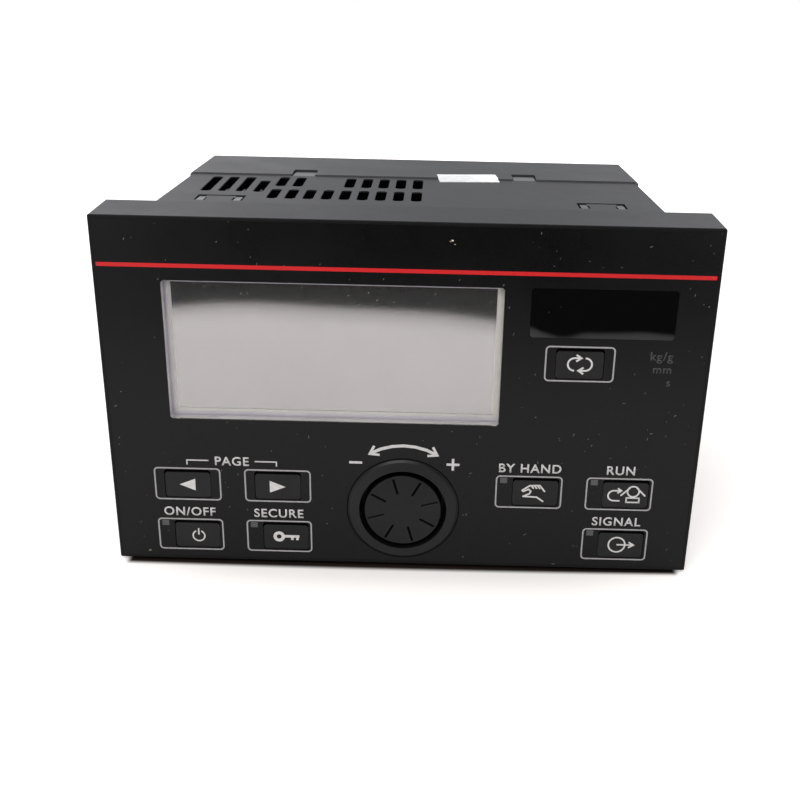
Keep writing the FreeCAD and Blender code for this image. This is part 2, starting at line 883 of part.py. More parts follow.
def board_connector():
    half = connector_width / 2
    return block(connector_x - half, connector_x + half, board_back_y, power_board_start + connector_reach,
                 power_board_top, power_board_top + connector_height)


def terminal_block(name):
    """A row of wire holes under a row of release slots, open to the rear."""
    x, z = terminal_rows[name]
    strip = bar(terminal_width, terminal_height, x, z + terminal_height / 2, terminal_start, terminal_end)
    cuts = []
    back = terminal_end + over
    for pole_x in spread(pole_count, pole_pitch):
        cuts.append(bar(wire_hole, wire_hole, x + pole_x, z + wire_lift, terminal_end - wire_depth, back))
        cuts.append(bar(release_width, release_height, x + pole_x, z + release_lift,
                        terminal_end - release_depth, back))
    return strip.cut(cuts)


os.makedirs("parts", exist_ok=True)

save("front_bezel", front_bezel())
save("overlay_sheet", overlay_sheet())
save("display_window", window(display_width, display_height, window_lip, display_x, display_z))
save("readout_window", window(readout_width, readout_height, readout_lip, readout_x, readout_z))
save("lcd_frame", lcd_frame())
save("lcd_glass", lcd_layer(lcd_glass_y, lcd_backlight_y))
save("lcd_backlight", lcd_layer(lcd_backlight_y, lcd_board_y))
save("lcd_board", lcd_bar(lcd_frame_width, lcd_frame_height, lcd_board_y, board_front_y))
save("readout_digits", readout_digits())

for name in keys:
    save(f"{name}_key", key(name))
    save(f"{name}_plunger", plunger(name))
save_group("switch_housings", [switch_housing(name) for name in keys])

for name in lit_keys:
    save(f"{name}_lamp", lamp(name))
save_group("indicator_leds", [led(name) for name in lit_keys])

save("dial_collar", dial_collar())
save("dial_disc", dial_disc())
save("encoder_body", encoder_body())
save("encoder_shaft", encoder_shaft())

save("panel_board", panel_board())
save_group("board_screws", [board_screw(x, z) for x, z in post_places])

save("main_case", main_case())
save("rear_cover", rear_cover())
save("seal_label", seal_label())

save("power_board", power_board())
save("control_board", control_board())
save_group("board_pillars", board_pillars())
save("board_connector", board_connector())
save("heat_sink", heat_sink())
save_group("power_transistors", power_transistors())
save_group("capacitors", capacitors())
save("transformer_core", transformer_core())
save("transformer_coil", transformer_coil())
save_group("control_chips", control_chips())
for name in terminal_rows:
    save(name, terminal_block(name))
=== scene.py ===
import math
import random

import bmesh
import bpy
from mathutils import Euler, Matrix, Vector


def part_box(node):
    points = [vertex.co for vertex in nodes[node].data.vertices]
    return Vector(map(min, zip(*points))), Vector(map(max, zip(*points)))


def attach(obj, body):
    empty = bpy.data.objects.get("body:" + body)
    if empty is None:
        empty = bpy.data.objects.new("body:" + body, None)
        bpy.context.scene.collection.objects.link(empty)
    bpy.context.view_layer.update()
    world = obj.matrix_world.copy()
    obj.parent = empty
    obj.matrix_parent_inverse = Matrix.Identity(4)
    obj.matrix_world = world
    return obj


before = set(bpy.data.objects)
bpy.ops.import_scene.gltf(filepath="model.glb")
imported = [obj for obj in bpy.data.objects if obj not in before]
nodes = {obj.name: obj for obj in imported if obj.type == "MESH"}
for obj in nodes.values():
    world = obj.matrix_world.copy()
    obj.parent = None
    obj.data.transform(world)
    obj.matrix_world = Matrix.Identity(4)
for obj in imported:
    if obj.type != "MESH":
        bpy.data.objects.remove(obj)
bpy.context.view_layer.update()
mm = 0.001
noiseBand = (0.3, 0.7)  # the part of its range that a noise mostly fills
print("frame loaded with", len(nodes), "nodes")


class Wire:  # a shader socket that can be used in sums
    def __init__(self, finish, socket):
        self.finish = finish
        self.socket = socket

    def calc(self, operation, first, second):
        return self.finish.node("ShaderNodeMath", {"operation": operation}, {0: first, 1: second})

    def __add__(self, other):
        return self.calc("ADD", self, other)

    def __radd__(self, other):
        return self.calc("ADD", other, self)

    def __sub__(self, other):
        return self.calc("SUBTRACT", self, other)

    def __rsub__(self, other):
        return self.calc("SUBTRACT", other, self)

    def __mul__(self, other):
        return self.calc("MULTIPLY", self, other)

    def __rmul__(self, other):
        return self.calc("MULTIPLY", other, self)

    def __lt__(self, other):
        return self.calc("LESS_THAN", self, other)

    def __gt__(self, other):
        return self.calc("GREATER_THAN", self, other)

    def __abs__(self):
        return self.calc("ABSOLUTE", self, 0.0)


class Finish:  # one node tree, for a material or the world
    def __init__(self, owner):
        owner.use_nodes = True
        self.owner = owner
        self.tree = owner.node_tree
        self.tree.nodes.clear()

    def node(self, kind, settings=None, sockets=None, output=0):
        made = self.tree.nodes.new(kind)
        for key, value in (settings or {}).items():
            setattr(made, key, value)
        for key, value in (sockets or {}).items():
            if isinstance(value, Wire):
                self.tree.links.new(value.socket, made.inputs[key])
            elif isinstance(value, tuple) and made.inputs[key].type == "RGBA":
                made.inputs[key].default_value = (*value, 1)
            else:
                made.inputs[key].default_value = value
        return Wire(self, made.outputs[output])

    def place(self, turn=(0, 0, 0), stretch=(1, 1, 1)):
        spot = self.node("ShaderNodeTexCoord", output="Object")
        return self.node("ShaderNodeMapping", {}, {"Vector": spot, "Rotation": turn, "Scale": stretch})

    def axes(self, spot):
        parts = self.node("ShaderNodeSeparateXYZ", {}, {0: spot}).socket.node.outputs
        return [Wire(self, part) for part in parts]

    def length(self, spot):
        return self.node("ShaderNodeVectorMath", {"operation": "LENGTH"}, {0: spot}, "Value")

    def noise(self, spot, scale, detail=3.0, rough=0.5):
        return self.node("ShaderNodeTexNoise", {}, {"Vector": spot, "Scale": scale, "Detail": detail,
                                                    "Roughness": rough})

    def ramp(self, value, low, high, start=0.0, end=1.0):
        return self.node("ShaderNodeMapRange", {"interpolation_type": "SMOOTHSTEP"},
                         {"Value": value, "From Min": low, "From Max": high, "To Min": start,
                          "To Max": end})

    def spread(self, noise, start=0.0, end=1.0):  # a noise stretched from start to end
        return self.ramp(noise, *noiseBand, start, end)

    def mix(self, factor, first, second):
        return self.node("ShaderNodeMix", {"data_type": "RGBA"}, {0: factor, 6: first, 7: second}, 2)

    def bump(self, height, depth, strength):  # depth in millimetres
        return self.node("ShaderNodeBump", {}, {"Height": height, "Distance": depth * mm,
                                                "Strength": strength})

    def principled(self, **sockets):
        named = {key.replace("_", " "): value for key, value in sockets.items()}
        return self.node("ShaderNodeBsdfPrincipled", {}, named)

    def matt(self, color):
        return self.node("ShaderNodeBsdfDiffuse", {}, {"Color": color})

    def blend(self, factor, first, second):  # of two shaders
        return self.node("ShaderNodeMixShader", {}, {0: factor, 1: first, 2: second})

    def show(self, shader, kind="ShaderNodeOutputMaterial"):
        end = self.tree.nodes.new(kind)
        self.tree.links.new(shader.socket, end.inputs["Surface"])
        return self.owner


def newFinish(name):
    return Finish(bpy.data.materials.new(name))


def shaded(color, share, lift=0.0):
    return tuple(c * share + lift for c in color)


def middleOf(node):
    low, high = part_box(node)
    return (low + high) / 2


# finishes of the moulded pieces
mouldLook = {"fine": 2600, "cloud": 38, "cloudRough": 0.6, "cloudShare": 0.6, "dark": 0.82, "pale": 1.25,
             "paleLift": 0.002, "gloss": (-0.05, 0.07), "depth": 0.06}


def mouldedSkin(f, spot, color, rough):  # fine grain, clouded tone and uneven gloss
    m = mouldLook
    fine = f.noise(spot, m["fine"], detail=2)
    cloud = f.noise(spot, m["cloud"], detail=4, rough=m["cloudRough"])
    tone = f.mix(f.spread(cloud), shaded(color, m["dark"]), shaded(color, m["pale"], m["paleLift"]))
    uneven = cloud * m["cloudShare"] + fine * (1 - m["cloudShare"])
    gloss = f.spread(uneven, rough + m["gloss"][0], rough + m["gloss"][1])
    return fine, tone, gloss


def mouldedPlastic(name, color, rough, grain=0.35, specular=0.5, zone=None):
    f = newFinish(name)
    spot = f.place()
    fine, tone, gloss = mouldedSkin(f, spot, color, rough)
    if zone:
        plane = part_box(zone["node"])[0].y + zone["depth"] * mm
        inZone = (f.axes(spot)[1] - plane) * zone["way"] < 0
        # a zone's tone can be painted light or shade, see zones
        tone = f.mix(inZone, tone, zone["tone"])
    normal = f.bump(fine, mouldLook["depth"], grain)
    skin = f.principled(Base_Color=tone, Roughness=gloss, Specular_IOR_Level=specular, Normal=normal)
    if zone:
        skin = f.blend(inZone * zone["matt"], skin, f.matt(zone["tone"]))
    return f.show(skin)


# zones with a tone set by position, in front of a plane (way 1) or behind it (way -1); the cover and groove
# zones are painted light and painted shade
zones = {
    # cover: the front end face at the seam is painted lighter, a painted light on a face in shade
    "cover": {"node": "rear_cover", "depth": 0.3, "way": 1, "tone": (0.065, 0.065, 0.067), "matt": 0.0},
    "bezel": {"node": "front_bezel", "depth": 0.3, "way": 1, "tone": (0.002, 0.002, 0.0025), "matt": 0.6},
    # groove: the disc's grooves are painted near black and mostly matt, a painted shade
    "groove": {"node": "dial_disc", "depth": 0.05, "way": -1, "tone": (0.001, 0.001, 0.001), "matt": 0.8},
}

# inside: a near-black matt colour, painted shade on every face below the outer skin
caseLook = {"color": (0.0135, 0.0135, 0.0145), "inside": (0.0015, 0.0015, 0.0016), "rough": 0.45,
            "grain": 0.35, "specular": 0.56, "skin": 0.5, "halfHeight": 57.0, "halfWidth": 90.7,
            "topFall": 0.0279, "sideFall": 0.0332, "seam": 76.6, "tongue": (0.135, 0.135, 0.138),
            "pocketX": 68.2, "rampX": 6.55, "rampY": 30.6, "rampHalf": (1.3, 3.9), "rampRough": 0.2}


def casePlastic(look):  # grained outside, painted shade in the vents, pockets and seam, tongues painted paler as a painted sheen, smooth clamp ramps
    f = newFinish("casePlastic")
    spot = f.place()
    x, y, z = f.axes(spot)
    skin = look["skin"] * mm
    below = abs(z) < look["halfHeight"] * mm - skin - y * look["topFall"]
    within = abs(x) < look["halfWidth"] * mm - skin - y * look["sideFall"]
    onTongue = y > look["seam"] * mm
    # painted shade: faces below the skin, apart from the tongues and ramps, are shown near-black matt
    paintedShade = below * within * (1 - onTongue)
    halfX, halfY = look["rampHalf"]
    offset = abs(abs(abs(x) - look["pocketX"] * mm) - look["rampX"] * mm)
    onRamp = (offset < halfX * mm) * (abs(y - look["rampY"] * mm) < halfY * mm)
    fine, tone, gloss = mouldedSkin(f, spot, look["color"], look["rough"])
    # painted sheen: the tongues are painted paler, in place of the bright background that their smooth tops
    # mirror
    tone = f.mix(onTongue, tone, look["tongue"])
    gloss = gloss + onRamp * (look["rampRough"] - look["rough"])
    normal = f.bump(fine * (1 - onRamp), mouldLook["depth"], look["grain"])
    outside = f.principled(Base_Color=tone, Roughness=gloss, Specular_IOR_Level=look["specular"],
                           Normal=normal)
    return f.show(f.blend(paintedShade * (1 - onRamp), outside, f.matt(look["inside"])))


def dustMask(f, spot, d):  # sparse specks of uneven size
    cells = f.node("ShaderNodeTexVoronoi", {}, {"Vector": spot, "Scale": d["cell"]})
    chance = Wire(f, cells.socket.node.outputs["Color"])
    return (cells < d["size"] * (f.axes(chance)[0] - d["bare"])) * d["share"]


filmLook = {"color": (0.0013, 0.0013, 0.0016), "pale": 1.22, "fine": 3800, "cloud": 26, "cloudRough": 0.62,
            "cloudBand": (0.35, 0.7), "cloudShare": 0.7, "rough": 0.28, "gloss": (-0.03, 0.05),
            "specular": 0.225, "depth": 0.04, "grain": 0.25, "line": (0.53, 0.018, 0.02), "lineZ": 45.95,
            "lineHalf": 0.66, "lineEnd": 98.6, "dust": (0.07, 0.066, 0.055), "shadowRingAt": 0.35, "shadowRingHalf": 0.3,
            "specks": {"cell": 230, "size": 0.12, "bare": 0.55, "share": 0.55}}


def printedFilm(look):  # black film with a red line, fine dust and a matt black ring round the collar, a painted shadow for the gap there
    f = newFinish("printedFilm")
    spot = f.place()
    x, _, z = f.axes(spot)
    fine = f.noise(spot, look["fine"], detail=2)
    cloud = f.noise(spot, look["cloud"], detail=5, rough=look["cloudRough"])
    black = f.mix(f.ramp(cloud, *look["cloudBand"]), look["color"], shaded(look["color"], look["pale"]))
    inLine = abs(z - look["lineZ"] * mm) < look["lineHalf"] * mm
    inside = abs(x) < look["lineEnd"] * mm
    printed = f.mix(inLine * inside, black, look["line"])
    dusty = f.mix(dustMask(f, spot, look["specks"]), printed, look["dust"])
    uneven = cloud * look["cloudShare"] + fine * (1 - look["cloudShare"])
    gloss = f.spread(uneven, look["rough"] + look["gloss"][0], look["rough"] + look["gloss"][1])
    normal = f.bump(fine, look["depth"], look["grain"])
    film = f.principled(Base_Color=dusty, Roughness=gloss, Specular_IOR_Level=look["specular"],
                        Normal=normal)
    # painted shadow: a thin matt ring where the collar meets the film, in the film's own black
    low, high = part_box("dial_collar")
    axis = middleOf("dial_disc")
    fromAxis = f.length(f.node("ShaderNodeCombineXYZ", {}, {0: x - axis.x, 2: z - axis.z}))
    past = fromAxis - (high.x - low.x) / 2
    gap = f.ramp(abs(past - look["shadowRingAt"] * mm), look["shadowRingHalf"] * mm, 0.0)
    return f.show(f.blend(gap, film, f.matt(look["color"])))


paintLook = {"blotch": 900, "band": (0.35, 0.7), "dark": 0.86, "specular": 0.3}


def plainPaint(name, color, rough=0.5):  # slightly uneven ink or dust
    f = newFinish(name)
    blotch = f.noise(f.place(), paintLook["blotch"])
    tone = f.mix(f.ramp(blotch, *paintLook["band"]), color, shaded(color, paintLook["dark"]))
    return f.show(f.principled(Base_Color=tone, Roughness=rough, Specular_IOR_Level=paintLook["specular"]))


# windows and what is behind them
clearLook = {"tint": (0.96, 0.96, 0.95), "mirror": (1, 1, 1), "rough": 0.05, "ior": 1.45, "smear": 60,
             "smearRough": 0.6, "band": (0.2, 0.8), "shine": (0.7, 0.95)}


def clearWindow(look):  # the pane lets light straight through and mirrors a little
    f = newFinish("clearWindow")
    smear = f.noise(f.place(), look["smear"], detail=4, rough=look["smearRough"])
    through = f.node("ShaderNodeBsdfTransparent", {}, {"Color": look["tint"]})
    mirror = f.node("ShaderNodeBsdfGlossy", {}, {"Roughness": look["rough"], "Color": look["mirror"]})
    edge = f.node("ShaderNodeFresnel", {}, {"IOR": look["ior"]})
    return f.show(f.blend(edge * f.ramp(smear, *look["band"], *look["shine"]), through, mirror))


smokedLook = {"tone": (0.0012, 0.001, 0.001), "dust": (0.16, 0.15, 0.13), "smear": 70, "smearRough": 0.6,
              "band": (0.3, 0.75), "gloss": (0.012, 0.03), "ior": 1.58,
              "specks": {"cell": 260, "size": 0.1, "bare": 0.55, "share": 0.5}}


def smokedWindow(look):
    f = newFinish("smokedWindow")
    spot = f.place()
    smear = f.noise(spot, look["smear"], detail=4, rough=look["smearRough"])
    tone = f.mix(dustMask(f, spot, look["specks"]), look["tone"], look["dust"])
    gloss = f.ramp(smear, *look["band"], *look["gloss"])
    return f.show(f.principled(Base_Color=tone, Roughness=gloss, IOR=look["ior"]))


displayView = {"lip": 2.5, "inset": 1.6}


def viewEdges(border=0.0):  # left, right and lower edge of what the display frame leaves open
    low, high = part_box("display_window")
    margin = (displayView["lip"] + displayView["inset"] + border) * mm
    return low.x + margin, high.x - margin, low.z + margin


cellLook = {"tone": (0.457, 0.445, 0.461), "pale": (0.479, 0.467, 0.483), "cloud": 18, "dots": 2400,
            "dotShare": 0.08, "glossBand": (0.35, 0.7), "gloss": (0.045, 0.065), "metal": 0.92,
            "specular": 0.2, "border": (0.93, 0.9, 0.9), "borderWidth": 0.45}


def liquidCrystal(look):  # a grey cell over a bright reflector
    f = newFinish("liquidCrystal")
    spot = f.place()
    dots = f.node("ShaderNodeTexChecker", {}, {"Vector": spot, "Scale": look["dots"]}, "Fac")
    cloud = f.noise(spot, look["cloud"])
    tone = f.mix(f.spread(cloud), look["tone"], look["pale"])
    gloss = f.ramp(cloud + dots * look["dotShare"], *look["glossBand"], *look["gloss"])
    mirror = f.principled(Base_Color=tone, Roughness=gloss, Metallic=look["metal"],
                          Specular_IOR_Level=look["specular"])
    x, _, z = f.axes(spot)
    left, right, bottom = viewEdges(look["borderWidth"])
    border = f.ramp((x < left) + (x > right) + (z < bottom), 0.0, 1.0)
    return f.show(f.blend(border, mirror, f.matt(look["border"])))


rimLook = {"rim": (0.92, 0.865, 0.96), "pale": 1.06, "edge": (0.93, 0.9, 0.9), "warm": (0.92, 0.89, 0.84),
           "strip": 0.55, "overlap": 0.1, "cloud": 300, "gloss": (0.4, 0.5), "specular": 0.3}


def displayRim(look):  # satin border of the cell, with a brighter strip next to the view
    f = newFinish("displayRim")
    spot = f.place()
    x, _, z = f.axes(spot)
    left, right, bottom = viewEdges()
    strip = look["strip"] * mm
    overlap = look["overlap"] * mm
    nearLeft = (x > left - strip) * (x < left + overlap) * (z > bottom - strip)
    nearBottom = (z > bottom - strip) * (z < bottom + overlap) * (x > left - strip)
    cloud = f.noise(spot, look["cloud"])
    plain = f.mix(f.spread(cloud), look["rim"], shaded(look["rim"], look["pale"]))
    sided = f.mix((x > right - overlap) * (z > bottom - strip), plain, look["warm"])
    tone = f.mix(f.ramp(nearLeft + nearBottom, 0.0, 1.0), sided, look["edge"])
    gloss = f.spread(cloud, *look["gloss"])
    return f.show(f.principled(Base_Color=tone, Roughness=gloss, Specular_IOR_Level=look["specular"]))


guideLook = {"cloud": 90, "dark": 0.9, "gloss": (0.28, 0.4), "ior": 1.49}


def lightGuide(name, color):
    f = newFinish(name)
    cloud = f.noise(f.place(), guideLook["cloud"])
    tone = f.mix(cloud, color, shaded(color, guideLook["dark"]))
    gloss = f.spread(cloud, *guideLook["gloss"])
    return f.show(f.principled(Base_Color=tone, Roughness=gloss, IOR=guideLook["ior"]))


digitLook = {"count": 4, "body": (0.03, 0.028, 0.03), "segment": (0.2, 0.19, 0.19), "half": 0.6,
             "reach": 5.6, "railAt": 0.22, "rungEnd": 0.2, "rough": 0.45}


def digitFace(look):  # unlit segments, eight-shaped, behind the smoked pane
    f = newFinish("digitFace")
    x, _, z = f.axes(f.place())
    low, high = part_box("readout_digits")
    pitch = (high.x - low.x) / look["count"]
    half = look["half"] * mm
    reach = look["reach"] * mm
    cell = f.node("ShaderNodeMath", {"operation": "MODULO"}, {0: x - low.x, 1: pitch})
    across = abs(cell - pitch / 2)
    up = abs(z - (low.z + high.z) / 2)
    rails = (abs(across - pitch * look["railAt"]) < half) * (up < reach)
    rungs = (across < pitch * look["rungEnd"]) * ((up < half) + (abs(up - reach) < half))
    tone = f.mix(rails + rungs, look["body"], look["segment"])
    return f.show(f.principled(Base_Color=tone, Roughness=look["rough"]))


# metal and circuit finishes
metalLook = {"dark": 0.8, "lineRough": 0.6, "band": (0.25, 0.75), "gloss": (-0.08, 0.12), "depth": 0.04,
             "grain": 0.3}


def brushedMetal(name, color, rough, along=(40, 900, 900), metal=1.0):
    f = newFinish(name)
    m = metalLook
    lines = f.noise(f.place(stretch=along), 1.0, rough=m["lineRough"])
    tone = f.mix(f.spread(lines), shaded(color, m["dark"]), color)
    gloss = f.ramp(lines, *m["band"], rough + m["gloss"][0], rough + m["gloss"][1])
    normal = f.bump(lines, m["depth"], m["grain"])
    return f.show(f.principled(Base_Color=tone, Metallic=metal, Roughness=gloss, Normal=normal))


boardLook = {"mask": (0.0022, 0.016, 0.008), "track": (0.005, 0.034, 0.015), "pad": (0.3, 0.28, 0.22),
             "cell": 330, "layout": {"offset": 0.37, "squash": 0.6, "squash_frequency": 3}, "groove": 0.09,
             "padCell": 231, "padSpread": 0.55, "padSize": 0.16, "padMetal": 0.9, "cloud": 400,
             "gloss": (0.28, 0.42), "sink": -0.5, "depth": 0.1, "grain": 0.4}


def circuitBoard(name, turn, look):  # lacquer over tracks, with tinned pads
    f = newFinish(name)
    spot = f.place(turn)
    bricks = f.node("ShaderNodeTexBrick", look["layout"],
                    {"Vector": spot, "Scale": look["cell"], "Mortar Size": look["groove"]}, "Fac")
    tracks = f.mix(bricks, look["track"], look["mask"])
    pads = f.node("ShaderNodeTexVoronoi", {}, {"Vector": spot, "Scale": look["padCell"],
                                               "Randomness": look["padSpread"]})
    onPad = pads < look["padSize"]
    tone = f.mix(onPad, tracks, look["pad"])
    gloss = f.spread(f.noise(spot, look["cloud"], detail=2), *look["gloss"])
    normal = f.bump(bricks * look["sink"] + onPad, look["depth"], look["grain"])
    return f.show(f.principled(Base_Color=tone, Roughness=gloss, Metallic=onPad * look["padMetal"],
                               Normal=normal))


canLook = {"sleeve": (0.012, 0.014, 0.03), "stripe": (0.5, 0.5, 0.48), "stripeWidth": 2.2,
           "top": (0.68, 0.68, 0.69), "topSkin": 0.2, "scratch": (900, 60, 900), "gloss": (0.25, 0.4)}


def canSleeve(look):  # printed sleeve with a pale stripe and a bare metal top
    f = newFinish("canSleeve")
    _, y, z = f.axes(f.place())
    low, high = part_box("capacitors")
    onTop = z > high.z - look["topSkin"] * mm
    onStripe = y < low.y + look["stripeWidth"] * mm
    tone = f.mix(onTop, f.mix(onStripe, look["sleeve"], look["stripe"]), look["top"])
    gloss = f.spread(f.noise(f.place(stretch=look["scratch"]), 1.0), *look["gloss"])
    return f.show(f.principled(Base_Color=tone, Metallic=onTop, Roughness=gloss))


coilLook = {"wire": (0.36, 0.16, 0.03), "tape": (0.62, 0.38, 0.06), "turns": 260, "waver": 0.4,
            "rough": 0.3, "depth": 0.2, "grain": 0.5}


def woundCoil(look):  # turns of wire under amber tape
    f = newFinish("woundCoil")
    turns = f.node("ShaderNodeTexWave", {"bands_direction": "Z"},
                   {"Vector": f.place(), "Scale": look["turns"], "Distortion": look["waver"]})
    tone = f.mix(turns, look["wire"], look["tape"])
    normal = f.bump(turns, look["depth"], look["grain"])
    return f.show(f.principled(Base_Color=tone, Roughness=look["rough"], Normal=normal))


coreLook = {"steel": (0.09, 0.09, 0.095), "brown": (0.15, 0.12, 0.1), "sheets": 520, "waver": 0.2,
            "sheetBand": (0.1, 0.9), "cloud": 220, "cloudBand": (0.4, 0.75), "gloss": (0.4, 0.6),
            "metal": 0.6, "depth": 0.1, "grain": 0.4}


def laminatedCore(look):  # stacked sheets with brown patches
    f = newFinish("laminatedCore")
    spot = f.place()
    sheets = f.node("ShaderNodeTexWave", {"bands_direction": "Y"},
                    {"Vector": spot, "Scale": look["sheets"], "Distortion": look["waver"]})
    cloud = f.noise(spot, look["cloud"], detail=4)
    tone = f.mix(f.ramp(cloud, *look["cloudBand"]), look["steel"], look["brown"])
    gloss = f.ramp(sheets, *look["sheetBand"], *look["gloss"])
    normal = f.bump(sheets, look["depth"], look["grain"])
    return f.show(f.principled(Base_Color=tone, Roughness=gloss, Metallic=look["metal"], Normal=normal))


finishes = {
    "bezel": mouldedPlastic("bezelPlastic", (0.011, 0.011, 0.013), rough=0.43, zone=zones["bezel"]),
    "case": casePlastic(caseLook),
    "cover": mouldedPlastic("coverPlastic", (0.0142, 0.0142, 0.0152), rough=0.4, grain=0.3, specular=0.6,
                            zone=zones["cover"]),
    "film": printedFilm(filmLook),
    "key": mouldedPlastic("keyCap", (0.0045, 0.0045, 0.005), rough=0.38, grain=0.2, specular=0.28),
    "collar": mouldedPlastic("collarSatin", (0.003, 0.003, 0.0034), rough=0.42, grain=0.2, specular=0.31),
    "disc": mouldedPlastic("discSatin", (0.0045, 0.0045, 0.005), rough=0.42, grain=0.25, specular=0.25,
                           zone=zones["groove"]),
    "clear": clearWindow(clearLook),
    "smoked": smokedWindow(smokedLook),
    "cell": liquidCrystal(cellLook),
    "rim": displayRim(rimLook),
    "guide": lightGuide("lightPlate", (0.82, 0.83, 0.78)),
    "lamp": lightGuide("lampLens", (0.062, 0.061, 0.065)),
    "diode": lightGuide("diodeResin", (0.72, 0.7, 0.52)),
    "label": mouldedPlastic("labelPaper", (0.8, 0.8, 0.795), rough=0.6, grain=0.15, specular=0.3),
    "uprightBoard": circuitBoard("uprightBoard", (math.radians(90), 0, 0), boardLook),
    "flatBoard": circuitBoard("flatBoard", (0, 0, 0), boardLook),
    "digits": digitFace(digitLook),
    "plunger": mouldedPlastic("plungerWhite", (0.62, 0.6, 0.55), rough=0.45),
    "switch": mouldedPlastic("switchBody", (0.02, 0.02, 0.02), rough=0.5),
    "steel": brushedMetal("platedSteel", (0.56, 0.56, 0.57), rough=0.32),
    "sink": brushedMetal("sinkAluminium", (0.88, 0.86, 0.86), rough=0.42, along=(900, 900, 30), metal=0.5),
    "core": laminatedCore(coreLook),
    "coil": woundCoil(coilLook),
    "chip": mouldedPlastic("chipResin", (0.018, 0.018, 0.019), rough=0.55, grain=0.4),
    "can": canSleeve(canLook),
    "terminal": mouldedPlastic("terminalGreen", (0.03, 0.21, 0.075), rough=0.42),
    "connector": mouldedPlastic("connectorPale", (0.66, 0.62, 0.5), rough=0.42),
    "ink": plainPaint("paleInk", (0.53, 0.516, 0.516)),
    "lineInk": plainPaint("lineInk", (0.33, 0.32, 0.32)),
    "dimInk": plainPaint("dimInk", (0.05, 0.05, 0.052)),
    "signInk": plainPaint("signInk", (0.57, 0.555, 0.55)),
    "dust": plainPaint("dustFlecks", (0.36, 0.345, 0.3), rough=0.9),
    "speck": plainPaint("creamSpeck", (0.72, 0.66, 0.46), rough=0.8),
    "crumb": plainPaint("oliveCrumb", (0.13, 0.135, 0.09), rough=0.8),
}

wearers = {
    "bezel": ["front_bezel"], "film": ["overlay_sheet"], "case": ["main_case"], "cover": ["rear_cover"],
    "clear": ["display_window"], "smoked": ["readout_window"], "cell": ["lcd_glass"], "rim": ["lcd_frame"],
    "guide": ["lcd_backlight"], "uprightBoard": ["lcd_board", "panel_board"], "digits": ["readout_digits"],
    "flatBoard": ["power_board", "control_board"], "switch": ["switch_housings", "encoder_body"],
    "diode": ["indicator_leds"], "collar": ["dial_collar"], "disc": ["dial_disc"], "label": ["seal_label"],
    "steel": ["encoder_shaft", "board_screws", "board_pillars"], "sink": ["heat_sink"],
    "chip": ["power_transistors", "control_chips"], "can": ["capacitors"], "core": ["transformer_core"],
    "coil": ["transformer_coil"], "terminal": ["power_terminals", "signal_terminals"],
    "connector": ["board_connector"], "key": [n for n in nodes if n.endswith("_key")],
    "plunger": [n for n in nodes if n.endswith("_plunger")],
    "lamp": [n for n in nodes if n.endswith("_lamp")],
}
for look, names in wearers.items():
    for name in names:
        nodes[name].data.materials.clear()
        nodes[name].data.materials.append(finishes[look])
dressed = sum(len(names) for names in wearers.values())
print("finishes on", dressed, "of", len(nodes), "nodes")


def newObject(name, bm, materials):  # at the origin, with its place in its mesh
    mesh = bpy.data.meshes.new(name)
    bm.to_mesh(mesh)
    bm.free()
    for material in materials:
        mesh.materials.append(material)
    made = bpy.data.objects.new(name, mesh)
    bpy.context.scene.collection.objects.link(made)
    return made


penLook = {"thick": 0.03, "lift": 0.002, "arcStep": 9, "fewestSteps": 6, "dotSides": 24, "cornerSteps": 6,
           "capital": 0.73, "spacing": 1.12}


